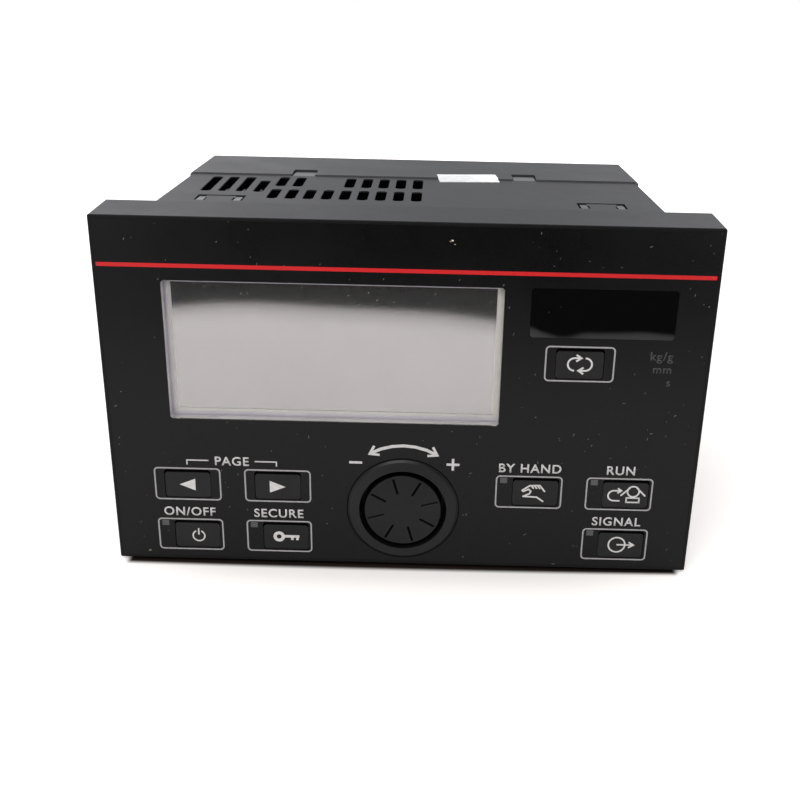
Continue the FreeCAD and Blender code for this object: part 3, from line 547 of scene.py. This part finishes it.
class Pen:  # flat marks drawn in millimetres, x to the right and y up, then laid on a face
    def __init__(self):
        self.bm = bmesh.new()
        self.strokes = 0

    def lift(self):  # each stroke ends a hair higher than the last, so crossings stay clean
        self.strokes += 1
        return self.strokes * penLook["lift"]

    def bar(self, x0, y0, x1, y1, width):
        way = Vector((x1 - x0, y1 - y0, 0))
        turn = Matrix.Rotation(math.atan2(way.y, way.x), 4, "Z")
        middle = Matrix.Translation(((x0 + x1) / 2, (y0 + y1) / 2, self.lift()))
        size = Matrix.Diagonal((way.length, width, 1, 1))
        bmesh.ops.create_grid(self.bm, x_segments=1, y_segments=1, size=0.5, matrix=middle @ turn @ size)

    def arc(self, x, y, radius, start, end, width):  # degrees, counted from the right
        way = Vector((math.cos(math.radians(start)), math.sin(math.radians(start)), 0))
        centre = Vector((x, y, self.lift()))
        ends = [self.bm.verts.new(centre + way * (radius + side * width / 2)) for side in (-1, 1)]
        edge = self.bm.edges.new(ends)
        steps = max(penLook["fewestSteps"], int(abs(end - start) / penLook["arcStep"]))
        bmesh.ops.spin(self.bm, geom=[*ends, edge], cent=centre, axis=(0, 0, 1), steps=steps,
                       angle=math.radians(end - start), use_merge=abs(end - start) == 360)

    def ring(self, x, y, radius, width):
        self.arc(x, y, radius, 0, 360, width)

    def dot(self, x, y, radius):
        bmesh.ops.create_circle(self.bm, cap_ends=True, segments=penLook["dotSides"], radius=radius,
                                matrix=Matrix.Translation((x, y, self.lift())))

    def line(self, width, points):  # a run of bars with round joints
        for (x0, y0), (x1, y1) in zip(points, points[1:]):
            self.bar(x0, y0, x1, y1, width)
        for x, y in points:
            self.dot(x, y, width / 2)

    def wedge(self, *corners):
        level = self.lift()
        verts = [self.bm.verts.new((x, y, level)) for x, y in corners]
        bmesh.ops.contextual_create(self.bm, geom=verts)

    def arrowHead(self, x, y, turn, length, line, spread):  # two barbs that meet in a point
        tip = Vector((x, y))
        back = math.radians(turn + 180)
        notch = tip + Vector((math.cos(back), math.sin(back))) * (line / math.sin(math.radians(spread)))
        for lean in (-1, 1):
            way = back + math.radians(lean * spread)
            end = tip + Vector((math.cos(way), math.sin(way))) * length
            inward = Vector((math.sin(way), -math.cos(way))) * (lean * line)
            self.wedge(tip, end, end + inward, notch)

    def roundedFrame(self, x, y, width, height, radius, line):
        size = Matrix.Diagonal((width, height, 1, 1))
        made = bmesh.ops.create_grid(self.bm, x_segments=1, y_segments=1, size=0.5,
                                     matrix=Matrix.Translation((x, y, self.lift())) @ size)
        rounded = bmesh.ops.bevel(self.bm, geom=made["verts"], offset=radius, offset_type="OFFSET",
                                  segments=penLook["cornerSteps"], profile=0.5, affect="VERTICES",
                                  material=-1)
        face = rounded["verts"][0].link_faces[0]
        bmesh.ops.inset_region(self.bm, faces=[face], thickness=line, use_boundary=True,
                               use_even_offset=True)
        bmesh.ops.delete(self.bm, geom=[face], context="FACES_ONLY")

    def word(self, text, x, y, height, bold, align="CENTER"):
        curve = bpy.data.curves.new("word", "FONT")
        curve.body = text
        curve.size = height / penLook["capital"]  # capitals are this share of the type size
        curve.offset = bold
        curve.align_x = align
        curve.space_character = penLook["spacing"]
        holder = bpy.data.objects.new("word", curve)
        bpy.context.scene.collection.objects.link(holder)
        bpy.context.view_layer.update()
        mesh = bpy.data.meshes.new_from_object(holder)
        mesh.transform(Matrix.Translation((x, y - height / 2, self.lift())))
        self.bm.from_mesh(mesh)
        bpy.data.objects.remove(holder)
        bpy.data.curves.remove(curve)
        bpy.data.meshes.remove(mesh)

    def lay(self, name, x, z, faceY, body, look):
        bm = self.bm
        for face in bm.faces:
            if face.normal.z < 0:
                face.normal_flip()
        base = bm.verts[:]
        grown = bmesh.ops.extrude_face_region(bm, geom=bm.faces[:])["geom"]
        raised = [v for v in grown if isinstance(v, bmesh.types.BMVert)]
        bmesh.ops.translate(bm, verts=raised, vec=(0, 0, penLook["thick"]))
        for v in base:
            v.co.z = 0
        bmesh.ops.recalc_face_normals(bm, faces=bm.faces[:])
        upright = Matrix.Rotation(math.radians(90), 4, "X")
        home = Matrix.Translation((x * mm, faceY, z * mm)) @ upright @ Matrix.Scale(mm, 4)
        bmesh.ops.transform(bm, matrix=home, verts=bm.verts[:])
        piece = newObject(name, bm, [finishes[look]])
        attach(piece, body)


# keys: where each cap and its printed outline are, in millimetres
outline = {"width": 22.9, "height": 12.5, "radius": 1.5, "line": 0.5, "lampShift": 2.3}
litKeys = ["power", "lock", "manual", "auto", "output"]
keyNames = litKeys + ["menu_left", "menu_right", "cycle"]
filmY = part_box("overlay_sheet")[0].y


def keyCentre(name):
    spot = middleOf(name + "_key") / mm
    return Vector((spot.x, spot.z))


def outlineCentre(name):
    shift = outline["lampShift"] if name in litKeys else 0
    return keyCentre(name) - Vector((shift, 0))


def printOutlines(o):
    pen = Pen()
    for name in keyNames:
        spot = outlineCentre(name)
        pen.roundedFrame(spot.x, spot.y, o["width"], o["height"], o["radius"], o["line"])
    pen.lay("key_outlines", 0, 0, filmY, "housing", "lineInk")


printOutlines(outline)
print("key outlines printed")

words = {"height": 3.35, "bold": 0.08, "above": 2.95,
         "keys": {"power": "ON/OFF", "lock": "SECURE", "manual": "BY HAND", "auto": "RUN",
                  "output": "SIGNAL"},
         "menu": "PAGE", "bracketIn": 7.6, "bracketDrop": 1.7, "bracketLine": 0.43}


def printWords(w):
    pen = Pen()
    rise = outline["height"] / 2 + w["above"]
    for name, text in w["keys"].items():
        spot = outlineCentre(name)
        pen.word(text, spot.x, spot.y + rise, w["height"], w["bold"])
    left = outlineCentre("menu_left")
    right = outlineCentre("menu_right")
    level = left.y + rise
    pen.word(w["menu"], (left.x + right.x) / 2, level, w["height"], w["bold"])
    for end, way in ((left.x, 1), (right.x, -1)):  # the lines that tie the word to its two keys
        pen.bar(end, level, end + way * w["bracketIn"], level, w["bracketLine"])
        post = end + way * w["bracketLine"] / 2
        pen.bar(post, level, post, level - w["bracketDrop"], w["bracketLine"])
    pen.lay("key_words", 0, 0, filmY, "housing", "ink")


printWords(words)

units = {"right": 87.6, "bold": 0.05, "marks": (("kg/g", 19.1, 3.1), ("mm", 14.5, 2.9), ("s", 9.9, 2.8))}


def printUnits(u):
    pen = Pen()
    for text, z, height in u["marks"]:
        pen.word(text, u["right"], z, height, u["bold"], "RIGHT")
    pen.lay("unit_marks", 0, 0, filmY, "housing", "dimInk")


printUnits(units)

dialMarks = {"rise": 2.4, "radius": 21.9, "half": 33.65, "short": 2.5, "line": 1.1, "barb": 4.0,
             "barbLine": 0.85, "barbTurn": 34.5, "lean": 4.6, "minusX": -16.3, "plusX": 16.9, "signZ": 17.6,
             "sign": 4.4, "signLine": 0.87}


def printDialMarks(d):  # a bow with an arrow head at each end, a minus and a plus
    pen = Pen()
    bow = d["half"] - d["short"]  # the bow stops short of the points of its heads
    pen.arc(0, d["rise"], d["radius"], 90 - bow, 90 + bow, d["line"])
    for side in (-1, 1):
        angle = 90 - side * d["half"]
        tip = Vector((math.cos(math.radians(angle)), math.sin(math.radians(angle)))) * d["radius"]
        turn = angle - side * (90 - d["lean"])
        pen.arrowHead(tip.x, tip.y + d["rise"], turn, d["barb"], d["barbLine"], d["barbTurn"])
    half = d["sign"] / 2
    for x in (d["minusX"], d["plusX"]):
        pen.bar(x - half, d["signZ"], x + half, d["signZ"], d["signLine"])
    pen.bar(d["plusX"], d["signZ"] - half, d["plusX"], d["signZ"] + half, d["signLine"])
    pen.lay("dial_marks", 0, middleOf("dial_disc").z / mm, filmY, "housing", "ink")


printDialMarks(dialMarks)
print("words and dial marks printed")


# signs on the key caps
def drawTriangle(pen, s):
    tip = s["tip"]
    pen.wedge((tip, 0), (-tip, s["rise"]), (-tip, -s["rise"]))


def drawPower(pen, s):
    low, high = s["stem"]
    pen.arc(0, s["ringY"], s["radius"], 90 + s["gap"], 450 - s["gap"], s["line"])
    pen.bar(0, low, 0, high, s["line"])


def drawKey(pen, s):
    start, end = s["shaft"]
    top, bottom = s["tooth"]
    pen.ring(s["bowX"], 0, s["bow"], s["bowLine"])
    pen.bar(start, s["shaftY"], end, s["shaftY"], s["shaftLine"])
    for x in s["teeth"]:
        pen.bar(x, top, x, bottom, s["toothLine"])


def drawHand(pen, s):  # a hand from the side: back and fingers above, thumb and wrist below
    top, bottom = s["finger"]
    pen.line(s["line"], s["back"])
    for x in s["fingers"]:
        pen.line(s["fingerLine"], ((x, top), (x + s["fingerLean"], bottom)))
    pen.line(s["line"], s["palm"])


def drawRoller(pen, s):  # a web that runs over a roller, and an arrow for its pull
    x, y, radius = s["turn"]
    pen.arc(x, y, radius, 90, 270, s["line"])
    pen.bar(x, y - radius, s["lowEnd"], y - radius, s["line"])
    pen.bar(x, y + radius, s["highEnd"], y + radius, s["line"])
    pen.arrowHead(s["tip"], y + radius, 0, s["barb"], s["line"], s["spread"])
    pen.ring(*s["roller"], s["line"])
    for run in s["web"]:
        pen.line(s["line"], run)
    pen.roundedFrame(*s["foot"])


def drawOut(pen, s):
    x, y = s["middle"]
    pen.ring(x, y, s["radius"], s["line"])
    pen.bar(x, y, s["barEnd"], y, s["line"])
    pen.arrowHead(s["tip"], y, 0, s["barb"], s["line"], s["spread"])


def drawCycle(pen, s):
    for side, turn in ((1, 0), (-1, 180)):
        x = s["arcX"] * side
        y = s["radius"] * side
        pen.arc(x, 0, s["radius"], turn + 90, turn + 270, s["line"])
        pen.bar(x, y, s["barEnd"] * side, y, s["line"])
        pen.arrowHead(s["tip"] * side, y, turn, s["barb"], s["line"], s["spread"])


signs = {
    "menu_left": {"draw": drawTriangle, "shift": (-0.2, -0.4), "tip": -2.73, "rise": 2.26},
    "menu_right": {"draw": drawTriangle, "shift": (-0.1, -0.5), "tip": 2.73, "rise": 2.26},
    "power": {"draw": drawPower, "shift": (0.25, -0.5), "line": 0.5, "ringY": -0.3, "radius": 2.05,
              "gap": 25, "stem": (0.1, 2.7)},
    "lock": {"draw": drawKey, "shift": (0.2, -0.35), "bowX": -2.7, "bow": 1.45, "bowLine": 1.15,
             "shaft": (-1.6, 4.4), "shaftY": 0.15, "shaftLine": 1.0, "teeth": (1.9, 3.7),
             "tooth": (0.2, -1.3), "toothLine": 0.9},
    "manual": {"draw": drawHand, "shift": (0.0, 0.0), "line": 0.55, "fingers": (-1.4, -0.3, 0.8),
               "finger": (2.3, 1.4), "fingerLean": 0.7, "fingerLine": 0.5,
               "back": ((-4.5, 0.5), (-1.9, 2.4), (1.5, 2.5), (3.2, 0.3)),
               "palm": ((-4.5, 0.5), (-4.1, 0.1), (-2.3, 1.0), (-1.5, 0.2), (-1.9, -0.7), (-4.1, -1.8),
                        (0.6, -2.0), (2.8, -3.6))},
    "auto": {"draw": drawRoller, "shift": (0.55, 0.1), "line": 0.55, "turn": (-4.5, -0.8, 1.95),
             "lowEnd": -2.3, "highEnd": -2.2, "tip": -1.5, "barb": 2.0, "spread": 35,
             "roller": (2.1, 0.9, 2.0), "foot": (2.1, -2.4, 4.9, 2.2, 0.2, 0.5),
             "web": (((-2.0, -0.6), (0.8, 2.2)), ((3.4, 2.2), (6.2, -0.6)))},
    "output": {"draw": drawOut, "shift": (0.3, 0.0), "line": 0.55, "middle": (-1.6, -0.3), "radius": 2.9,
               "barEnd": 4.2, "tip": 4.8, "barb": 2.5, "spread": 32},
    "cycle": {"draw": drawCycle, "shift": (0.1, -0.2), "line": 0.6, "arcX": -1.75, "radius": 2.2,
              "barEnd": -0.2, "tip": 0.95, "barb": 2.5, "spread": 34},
}
for name, sign in signs.items():
    pen = Pen()
    sign["draw"](pen, sign)
    spot = keyCentre(name) + Vector(sign["shift"])
    pen.lay(name + "_sign", spot.x, spot.y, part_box(name + "_key")[0].y, name + "_button", "signInk")
print("signs on", len(signs), "keys")

# dust on the front: flecks and short fibres, scattered by a fixed seed
dust = {"seed": 11, "clear": 1.0, "flat": 0.07, "proud": 0.03, "lean": 58, "spread": 28,
        "flecks": 130, "fleck": (0.14, 0.32), "fleckWidth": 0.7, "fibres": 45, "fibre": (0.6, 1.5),
        "fibreWidth": 0.1, "paneFlecks": 16, "paneFleck": (0.35, 1.0), "paneWidth": 0.15, "paneSpread": 12,
        "paneTop": 11.0, "looks": ("dust", "speck", "crumb"), "speckTurn": 30,
        "specks": ((14.5, 56.25, 0.95, 0.6, 1), (15.3, 55.0, 0.55, 0.2, 1), (13.9, 55.9, 0.6, 0.18, 1),
                   (-89.3, -59.0, 1.3, 0.8, 2))}


def frontIsBare(x, z, clear):  # true where no key, dial or readout is in the way
    for name in ["dial_collar", "readout_window"] + [n + "_key" for n in keyNames]:
        low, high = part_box(name)
        if low.x - clear < x * mm < high.x + clear and low.z - clear < z * mm < high.z + clear:
            return False
    return True


def scatterDust(d):
    pick = random.Random(d["seed"])
    low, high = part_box("overlay_sheet")
    bm = bmesh.new()

    def grain(x, z, width, height, angle, look=0):
        turn = Matrix.Rotation(math.radians(angle), 4, "Y")
        size = Matrix.Diagonal((width, d["flat"], height, 1))
        home = Matrix.Translation((x * mm, filmY - d["proud"] * mm, z * mm)) @ turn @ size
        made = bmesh.ops.create_icosphere(bm, subdivisions=1, radius=mm / 2, matrix=home)
        for face in {face for v in made["verts"] for face in v.link_faces}:
            face.material_index = look

    count = 0
    while count < d["flecks"] + d["fibres"]:
        x = pick.uniform(low.x, high.x) / mm
        z = pick.uniform(low.z, high.z) / mm
        if not frontIsBare(x, z, d["clear"] * mm):
            continue
        count += 1
        angle = 90 - pick.gauss(d["lean"], d["spread"])
        if count <= d["flecks"]:
            grain(x, z, pick.uniform(*d["fleck"]) * d["fleckWidth"], pick.uniform(*d["fleck"]), angle)
        else:
            grain(x, z, d["fibreWidth"], pick.uniform(*d["fibre"]), angle)
    low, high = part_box("display_window")
    for _ in range(d["paneFlecks"]):  # dust that caught on the upper part of the display's pane
        x = pick.uniform(low.x, high.x) / mm
        z = high.z / mm - pick.uniform(0.0, d["paneTop"])
        length = pick.uniform(*d["paneFleck"])
        grain(x, z, d["paneWidth"], length, 90 - pick.gauss(d["lean"], d["paneSpread"]))
    for x, z, width, height, look in d["specks"]:
        grain(x, z, width, height, pick.uniform(-d["speckTurn"], d["speckTurn"]), look)
    piece = newObject("dust_flecks", bm, [finishes[look] for look in d["looks"]])
    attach(piece, "housing")


scatterDust(dust)
print("dust scattered")

# stage: pale floor that ends in the dark in front, as the display and readout mirror it
stageLook = {
    "floorZ": -0.0635, "half": 3.0, "pale": (0.89, 0.862, 0.845), "dark": (0.028, 0.028, 0.027),
    # where the dark begins: a wavy line with dips, soft, and only in the middle
    "edgeY": -0.2838, "waves": ((0.0147, 0.1141, 0.38), (0.0026, -0.0505, 0.13)),
    "dips": ((0.081, 0.016, 0.0085), (0.059, 0.013, -0.006), (0.152, 0.028, 0.007)),
    "soft": 0.005, "fade": (-0.008, 0.036), "darkSide": (0.285, 0.175),
    # the painted contact shadow under the front edge: its front, rear and side limits
    "strip": ((-0.0232, -0.0202), (-0.002, -0.008), (0.0988, 0.0962)), "bend": (0.1, 0.004),
    "shade": (0.02, 0.014, 0.012),
    # light that only the camera sees, weaker close to the part, which paints a soft shadow round it
    "glow": (1.0, 0.955, 0.93), "reach": (0.1, 0.036), "close": (0.3, 1.1), "lift": (0.1, 0.28),
    "away": (0.3, 0.9),
}


def paleFloor(s):
    f = newFinish("paleFloor")
    spot = f.place()
    x, y, _ = f.axes(spot)
    eye = f.node("ShaderNodeLightPath", output="Is Camera Ray")
    edge = s["edgeY"]
    for swing, peak, length in s["waves"]:
        turn = (x - peak) * (2 * math.pi / length)
        edge = f.node("ShaderNodeMath", {"operation": "COSINE"}, {0: turn}) * swing + edge
    for at, reach, depth in s["dips"]:  # uneven places that the readout mirrors
        edge = edge + f.ramp(abs(x - at), reach, 0.0, 0.0, depth)
    inside = f.ramp(y - edge, -s["soft"], s["soft"], 0.0, 0.5) + f.ramp(y - edge, *s["fade"], 0.0, 0.5)
    outside = (1 - inside) * f.ramp(abs(x), *s["darkSide"])
    front, rear, sides = s["strip"]
    bend = x * x * s["bend"][0] + x * s["bend"][1]
    below = f.ramp(y - bend, *front) * f.ramp(y, *rear) * f.ramp(abs(x), *sides)
    # painted contact shadow: the strip takes the shade colour and loses the camera-only light
    tone = f.mix(below, f.mix(outside * (1 - eye), s["pale"], s["dark"]), s["shade"])
    across = abs(x) * (1 / s["reach"][0])
    along = y * (1 / s["reach"][1])
    close = across * across * across * across + along * along
    farLift = f.ramp(f.length(spot), *s["away"], 0.0, 1 - s["lift"][1])
    # painted shade: less of this light near the part, none in the contact shadow strip
    lift = f.ramp(close, *s["close"], *s["lift"]) + farLift
    glow = f.node("ShaderNodeEmission", {}, {"Color": s["glow"], "Strength": eye * lift * (1 - below)})
    material = f.show(f.node("ShaderNodeAddShader", {}, {0: f.matt(tone), 1: glow}))
    bm = bmesh.new()
    bmesh.ops.create_grid(bm, x_segments=1, y_segments=1, size=s["half"],
                          matrix=Matrix.Translation((0, 0, s["floorZ"])))
    floor = newObject("pale_floor", bm, [material])


paleFloor(stageLook)

worldLook = {"behind": (0.5, 0.51, 0.53), "behindSide": (1.25, 1.25, 1.29), "front": (0.03, 0.03, 0.031),
             "frontSide": (0.5, 0.5, 0.51), "seen": (1, 1, 1), "middle": 0.04, "side": (0.02, 0.42),
             "depth": (-0.25, 0.35)}


def studioWorld(w):  # dark in front, pale behind, paler to both sides, and plain white to the camera
    world = bpy.data.worlds.new("studio")
    bpy.context.scene.world = world
    f = Finish(world)
    x, y, _ = f.axes(f.node("ShaderNodeTexCoord", output="Generated"))
    eye = f.node("ShaderNodeLightPath", output="Is Camera Ray")
    aside = f.ramp(abs(x - w["middle"]), *w["side"])
    front = f.mix(aside, w["front"], w["frontSide"])
    behind = f.mix(aside, w["behind"], w["behindSide"])
    room = f.mix(f.ramp(y, *w["depth"]), front, behind)
    light = f.node("ShaderNodeBackground", {}, {"Color": f.mix(eye, room, w["seen"])})
    f.show(light, "ShaderNodeOutputWorld")


studioWorld(worldLook)

softBoxes = {
    "over": {"at": (0.1, 0.25, 0.95), "aim": (0, 0.03, 0), "size": 1.1, "watts": 1.6},
    "front": {"at": (-0.2, -0.8, 0.85), "aim": (0, 0, 0), "size": 0.8, "watts": 11.3},
}
for name, box in softBoxes.items():
    light = bpy.data.lights.new(name, "AREA")
    light.shape = "SQUARE"
    light.size = box["size"]
    light.energy = box["watts"]
    lamp = bpy.data.objects.new(name, light)
    lamp.location = box["at"]
    lamp.rotation_euler = (Vector(box["aim"]) - Vector(box["at"])).to_track_quat("-Z", "Y").to_euler()
    bpy.context.scene.collection.objects.link(lamp)

cameraLook = {"at": (0.00941, -0.35263, 0.14682), "turn": (67.446, -1.132, 0.863), "lens": 49.101,
              "sensor": 36.0, "shift": (-0.03263, -0.02491), "nearest": 0.01}


def photoCamera(c):
    lens = bpy.data.cameras.new("photo_view")
    lens.sensor_fit = "HORIZONTAL"
    lens.sensor_width = c["sensor"]
    lens.lens = c["lens"]
    lens.shift_x, lens.shift_y = c["shift"]
    lens.clip_start = c["nearest"]
    camera = bpy.data.objects.new("photo_view", lens)
    camera.location = c["at"]
    camera.rotation_euler = Euler([math.radians(turn) for turn in c["turn"]])
    bpy.context.scene.collection.objects.link(camera)
    bpy.context.scene.camera = camera


photoCamera(cameraLook)
bpy.context.scene.view_settings.view_transform = "Standard"
print("stage, lights and camera ready")
